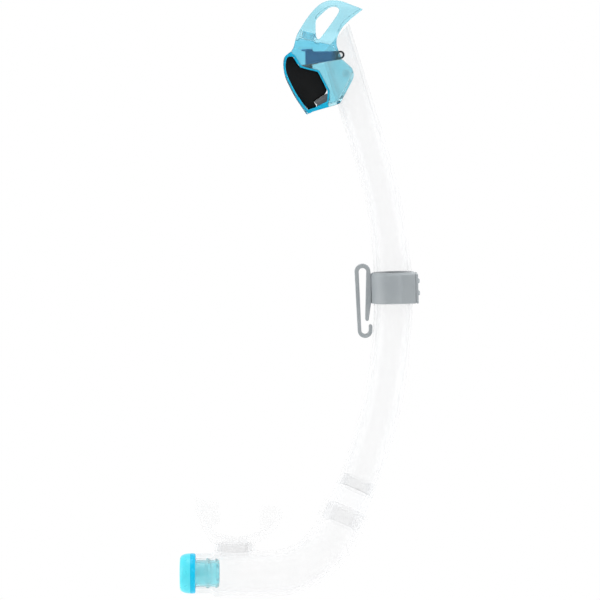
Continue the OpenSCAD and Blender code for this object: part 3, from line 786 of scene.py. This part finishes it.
def elbow_mesh(around=96):
    """One soft shell: cuff, bend, room and sleeve, swept as rings with their own inner and outer radius."""
    stations = []

    def straight(start, direction, rows):
        for s, outer, inner in rows:
            stations.append((start + direction * s * MM, direction, outer, inner))

    straight(CUFF, DOWN, [
        (0, 15.0, 12.62), (0.15, 15.35, 12.62), (0.5, CUFF_R, 12.62), (4, CUFF_R, 12.62), (8, CUFF_R, 12.62),
        (11.1, CUFF_R, 12.62), (11.3, CUFF_R, SOFT_IN), (12.4, CUFF_R - 0.1, SOFT_IN), (13.4, 15.2, SOFT_IN)])
    steps = 40
    for i in range(steps + 1):
        a = math.radians(-TURN + (90 - TURN) * -i / steps)
        place = ELBOW_MIDDLE + Vector((math.cos(a), 0, math.sin(a))) * ELBOW_R * MM
        stations.append((place, Vector((math.sin(a), 0, -math.cos(a))), SOFT_R, SOFT_IN))
    end = CHAMBER_LEN
    rows = [(s, SOFT_R, SOFT_IN) for s in range(3, 34, 3)]
    for k in range(9):
        t = k / 8
        rows.append((34.5 + t * (end - 34.5), SOFT_R + (SLEEVE_R - SOFT_R) * ease(t),
                     SOFT_IN + (SLEEVE_IN - SOFT_IN) * ease(t * 1.2)))
    rows += [(end + s, SLEEVE_R, SLEEVE_IN) for s in (1, 3, 5, 7, SLEEVE_LEN - 0.5)]
    rows.append((end + SLEEVE_LEN - 0.05, SLEEVE_R - 0.4, SLEEVE_IN))
    straight(ROOM, LEFT, rows)

    edit = bmesh.new()
    shells = [[], []]
    for place, direction, *radii in stations:
        for shell, r in zip(shells, radii):
            shell.append([edit.verts.new(p) for p in ring_points(place, direction, r, around)])
    for shell in shells:
        for a, b in zip(shell, shell[1:]):
            skin(edit, a, b)
    for end in (0, -1):
        skin(edit, shells[0][end], shells[1][end])
    return finish_mesh("elbow", edit)


def stadium(w, d, steps=24):
    """An oblong outline, w long in X and d deep in Y."""
    out = []
    for s in (1, -1):
        for i in range(steps + 1):
            a = math.pi * (i / steps - 0.5) + (0 if s > 0 else math.pi)
            out.append(Vector((s * (w - d) / 2 + math.cos(a) * d / 2, math.sin(a) * d / 2)))
    return out


def upright(outline, low, high, hole=None):
    """An oblong drawn up along Z, with an optional oblong hole right through it."""
    mesh = prism([outline] + ([hole] if hole else []), low, high)
    mesh.transform(Matrix.Rotation(math.radians(-90), 4, "X"))
    return mesh


NECK_X = -22.6
NECK_TOP = 19.6
AT_NECK = Matrix.Translation(ROOM + Vector((NECK_X * MM, 0, 0)))


def port_cutter(w, d, low, high):
    return moved(upright(stadium(w, d), -high, -low), AT_NECK)


collar = moved(upright(stadium(21.8, 14.2), -NECK_TOP, -13.2), AT_NECK)
elbow = without(united(elbow_mesh(), collar), port_cutter(17.4, 9.8, 5, 40))
keep("soft_elbow", smooth_faces(elbow, math.radians(40)), "elbow")


# ------------------------------------------------------------------ mouthpiece
SHIELD = [
    (-25.6, 48.3), (-24.7, 40.3), (-22.4, 33.9), (-19.2, 26.8), (-14.6, 21.4), (-8, 19.2), (0, 18.7),
    (8, 19.4), (15.6, 21.6), (21.4, 24.4), (25.6, 29.0), (29.0, 34.2), (31.0, 39.6),
]
LEFT_LOBE = [
    (-25.2, 47.6), (-22, 47.4), (-17.3, 46.3), (-9.8, 45.4), (-9.6, 40), (-9.8, 33.3), (-13.5, 31.6),
    (-16.4, 27.6), (-18.6, 27.6), (-22.2, 34.4), (-24.4, 41),
]
RIGHT_LOBE = [
    (16.2, 42.6), (21.7, 43.4), (27.8, 42.4), (30.6, 39.0), (28.4, 33.8), (24.6, 28.2), (20, 25.4),
    (17.6, 26.6), (16.4, 31.6),
]
FLANGE = [
    (-19, 28.4), (-16, 28.4), (-10.9, 25.6), (-5.8, 24.0), (1.3, 22.9), (8.3, 24.0), (12.8, 25.4),
    (17.6, 27.4), (20.4, 27), (18, 22.6), (10, 19.4), (0, 18.4), (-10, 19.4), (-16, 22.4),
]


def shield_mesh(half_mid=12.9, thick=2.6):
    """The lip shield: a curved wall along the U, tallest in the middle, with a dip for the lip ligament."""
    line = [Vector(p) for p in SHIELD]
    dense = []
    for i in range(len(line) - 1):
        a, b = line[i], line[i + 1]
        before = line[i - 1] if i else a * 2 - b
        after = line[i + 2] if i + 2 < len(line) else b * 2 - a
        dense += [between(before, a, b, after, k / 6) for k in range(6)]
    dense.append(line[-1])
    edit = bmesh.new()
    count = len(dense)
    rows = []
    for i, p in enumerate(dense):
        u = i / (count - 1)
        edge = min(1, min(u, 1 - u) / 0.22)
        half = half_mid * (0.36 + 0.64 * math.sin(edge * math.pi / 2))
        half -= 1.8 * math.exp(-((u - 0.5) / 0.07) ** 2)
        along = dense[min(i + 1, count - 1)] - dense[max(i - 1, 0)]
        inward = Vector((-along[1], along[0])).normalized()
        q = p + inward * thick
        rows.append([edit.verts.new((a[0] * MM, y * MM, a[1] * MM)) for a, y in
                     ((p, -half), (p, half), (q, half), (q, -half))])
    for a, b in zip(rows, rows[1:]):
        for k in range(4):
            edit.faces.new((a[k], a[(k + 1) % 4], b[(k + 1) % 4], b[k]))
    edit.faces.new(rows[0])
    edit.faces.new(rows[-1])
    return finish_mesh("shield", edit)


def mouth_mesh():
    parts = [shield_mesh()]
    for lobe in (LEFT_LOBE, RIGHT_LOBE):
        loop = flowing(lobe, 5)
        parts.append(prism([loop], -2.6, 2.6))
        # the raised lug at the lobe's end, which the teeth close on
        middle = sum(loop, Vector((0, 0))) / len(loop)
        lug = [middle + (p - middle) * 0.86 + Vector((0, 0.9)) for p in loop]
        lug = [p for p in lug if p[1] > middle[1] + 1.5]
        parts.append(prism([lug], -4.4, 4.4))
    parts.append(prism([flowing(FLANGE, 5)], -7.4, 7.4))
    parts.append(upright(stadium(26.4, 18.8), -21.4, -12.2))
    body = moulded(parts, 0.5, 9, "mouth")
    saddle_r = SOFT_R + 0.12
    saddle = lathe("saddle", [(0, -60), (saddle_r, -60), (saddle_r, 60), (0, 60)], (0, 0, 0), (1, 0, 0))
    airway = upright(stadium(17.2, 9.6), -40, 0)
    socket = upright(stadium(22.0, 14.4), -NECK_TOP - 0.1, 0)
    body = without(body, airway, socket, saddle)
    return moved(body, AT_NECK)


keep("bite_piece", mouth_mesh(), "mouthpiece")


# ------------------------------------------------------------------ purge valve
PURGE = ROOM + LEFT * (CHAMBER_LEN + SLEEVE_LEN) * MM
RING_LEN = 3.2
COVER_LEN = 6.8


def purge_body_mesh():
    barbs = [(7.0, -15.3), (8.4, -15.3, 0.3), (9.7, -13.4, 0.5), (9.7, -12.8, 0.3), (8.6, -12.6), (8.6, -9.6),
             (9.75, -8.2, 0.4), (9.75, -7.0, 0.4), (8.6, -6.6), (8.6, 3.2, 0.2), (7.0, 3.2, 0.2)]
    wall = lathe("purge_wall", rounded(barbs, 0.12, 3), PURGE, LEFT)
    spokes = []
    for i in range(3):
        spoke = prism([rounded([(-7.4, -0.7), (7.4, -0.7), (7.4, 0.7), (-7.4, 0.7)], 0.2, 2)], -0.75, 0.75)
        spoke.transform(Matrix.Rotation(math.radians(60 * i), 4, "Y"))
        spokes.append(spoke)
    hub = lathe("hub", [(0, -0.8), (3, -0.8), (3, 0.8), (0, 0.8)], (0, 0, 0), (0, 1, 0), 48)
    web = moulded(spokes + [hub], 0.3, 2, "web")
    web = without(web, lathe("stem_hole", [(0, -9), (1.36, -9), (1.36, 9), (0, 9)], (0, 0, 0), (0, 1, 0), 32))
    turn = Matrix.Rotation(math.radians(90), 4, "Z")
    web.transform(Matrix.Translation(PURGE + LEFT * 2.4 * MM) @ turn)
    return smooth_faces(joined([wall, web], "purge_body"), math.radians(40))


keep("purge_barb", purge_body_mesh(), "purge_body")
keep("purge_collar", lathe("purge_collar", rounded([
    (8.68, 0), (12.6, 0, 0.5), (12.95, 1.2, 0.6), (12.95, RING_LEN), (8.68, RING_LEN)], 0.15, 4),
    PURGE, LEFT), "purge_ring")


def cover_mesh():
    face = RING_LEN + COVER_LEN
    shell = lathe("cover", rounded([
        (10.7, RING_LEN), (12.95, RING_LEN, 0.15), (12.6, RING_LEN + 3.6, 1.6), (11.0, face, 1.8),
        (0, face, 0), (0, face - 1.4, 0), (10.2, face - 1.6, 1.2)], 0.3, 7), PURGE, LEFT)
    slots = []
    for i in range(6):
        slot = prism([rounded([(3.4, -1.1), (8.4, -1.1), (8.4, 1.1), (3.4, 1.1)], 0.9, 5)], -8, 20)
        slot.transform(Matrix.Rotation(math.radians(60 * i), 4, "Y"))
        slot.transform(Matrix.Rotation(math.radians(90), 4, "Z"))
        slot.transform(Matrix.Translation(PURGE + LEFT * face * MM))
        slots.append(slot)
    return without(shell, joined(slots, "slots"))


keep("purge_cap", cover_mesh(), "purge_cover")
keep("purge_flap_disc", lathe("purge_flap_disc", rounded([
    (0, -2.4, 0), (2.1, -2.4), (2.1, -1.4), (1.3, 0.2), (1.3, 3.25), (9.7, 3.45, 0.2), (9.7, 4.0),
    (0, 4.1, 0)], 0.2, 4), PURGE, LEFT), "purge_diaphragm")


# ------------------------------------------------------------------ clip
BAND_ANGLE = math.degrees(math.asin((4.8 * MM - BEND.z) / (BEND_R * MM)))
BAND_AT = on_bend(BAND_ANGLE)
BAND_DIR = along_bend(BAND_ANGLE)
BAND_H = 19.8
BAND_R = TUBE_R + 2.05
# the flat block behind the band, and the plate that lies on it
BLOCK_HALF = 13.7
BLOCK_LOW, BLOCK_HIGH = -9.9, 8.9
BAND_TILT = Matrix.Translation(BAND_AT) @ Matrix.Rotation(math.atan2(BAND_DIR.x, BAND_DIR.z), 4, "Y")


def ring_bore(radius, low, high, around=96):
    """A cutter bent like the tube, so the band's bore follows it."""
    edit = bmesh.new()
    rings = []
    steps = 12
    for i in range(steps + 1):
        angle = low + (high - low) * i / steps
        points = ring_points(on_bend(angle), along_bend(angle), radius, around)
        rings.append([edit.verts.new(p) for p in points])
    for a, b in zip(rings, rings[1:]):
        skin(edit, a, b)
    edit.faces.new(rings[0])
    edit.faces.new(rings[-1])
    return finish_mesh("ring_bore", edit)


def band_mesh():
    half = BAND_H / 2
    barrel = lathe("barrel", [(0, -half), (BAND_R - 0.7, -half), (BAND_R, 0.7 - half), (BAND_R, half - 1.7),
                              (BAND_R - 1.1, half), (0, half)], (0, 0, 0), (0, 0, 1), 128)
    block = prism([rounded([(4.8, BLOCK_LOW), (14.08, BLOCK_LOW), (14.08, BLOCK_HIGH), (4.8, BLOCK_HIGH)],
                           0.5, 4)], -BLOCK_HALF, BLOCK_HALF)
    flat = prism([[Vector(p) for p in [(14.1, -20), (30, -20), (30, 20), (14.1, 20)]]], -20, 20)
    body = without(moulded([barrel, block], 0.42, 3, "band"), flat)
    body.transform(BAND_TILT)
    return without(body, ring_bore(TUBE_R + 0.05, BAND_ANGLE - 5, BAND_ANGLE + 5))


keep("band", band_mesh(), "clip_band")

HOOK_T, HOOK_W = 2.3, 8
HOOK_TOP = (-0.35, 15)
HOOK_LOW = (1.34, -22.65)
HOOK_LOW_R = 4.7
SLOT_HALF = 2.45


def arc(middle, radius, start, end, steps=20):
    return [Vector((middle[0] + radius * math.cos(math.radians(start + (end - start) * i / steps)),
                    middle[1] + radius * math.sin(math.radians(start + (end - start) * i / steps))))
            for i in range(steps + 1)]


def hook_mesh():
    top_r = SLOT_HALF + HOOK_T + 0.3
    low_in = HOOK_LOW_R - HOOK_T
    tip_x = HOOK_LOW[0] + HOOK_LOW_R - HOOK_T / 2
    outer = (
        arc(HOOK_TOP, top_r, 180, 0)
        + [Vector(p) for p in [(5.0, 13.0), (5.15, 4), (5.15, -4.9), (3.75, -15.2)]]
        + arc((2.6, -15.3), 1.15, -10, -170, 10)
        + [Vector((HOOK_TOP[0] + SLOT_HALF, HOOK_TOP[1]))]
        + arc(HOOK_TOP, SLOT_HALF, 0, 180)
        + arc(HOOK_LOW, low_in, 180, 360)
        + arc((tip_x, HOOK_LOW[1] + 2.7), HOOK_T / 2, 180, 0, 10)
        + arc(HOOK_LOW, HOOK_LOW_R, 0, -180)
    )
    body = moulded([prism([outer], -HOOK_W / 2, HOOK_W / 2)], 0.28, 4, "hook")
    reach, half = BAND_R + 0.02, BAND_H / 2 + 0.1
    barrel = lathe("barrel", [(0, -half), (reach, -half), (reach, half), (0, half)],
                   (0, 0, 0), (0, 0, 1), 128)
    barrel.transform(BAND_TILT)
    return without(body, barrel)


keep("hook", hook_mesh(), "strap_hook")

plate = [(14.12, BLOCK_LOW), (15.7, BLOCK_LOW), (15.7, BLOCK_HIGH), (14.12, BLOCK_HIGH)]
keeper = moulded([prism([rounded(plate, 0.4, 3)], -BLOCK_HALF, BLOCK_HALF)], 0.3, 2, "keeper")
keeper.transform(BAND_TILT)
keep("band_plate", keeper, "clip_keeper")

studs = []
for height in (-3.9, 3.9):
    stud = lathe("stud", rounded([
        (0, 13.0, 0), (1.2, 13.0), (1.2, 15.68), (1.7, 15.72), (1.55, 16.5), (0.9, 17.0),
        (0, 17.08, 0)], 0.2, 4), (0, 0, height * MM), (1, 0, 0), 48)
    studs.append(moved(stud, BAND_TILT))
keep("band_studs", smooth_faces(joined(studs, "studs")), "clip_rivets")

for node, obj in frame["nodes"].items():
    obj.data.materials.clear()
    obj.data.materials.append(MATERIALS[SLOT_OF[node]])
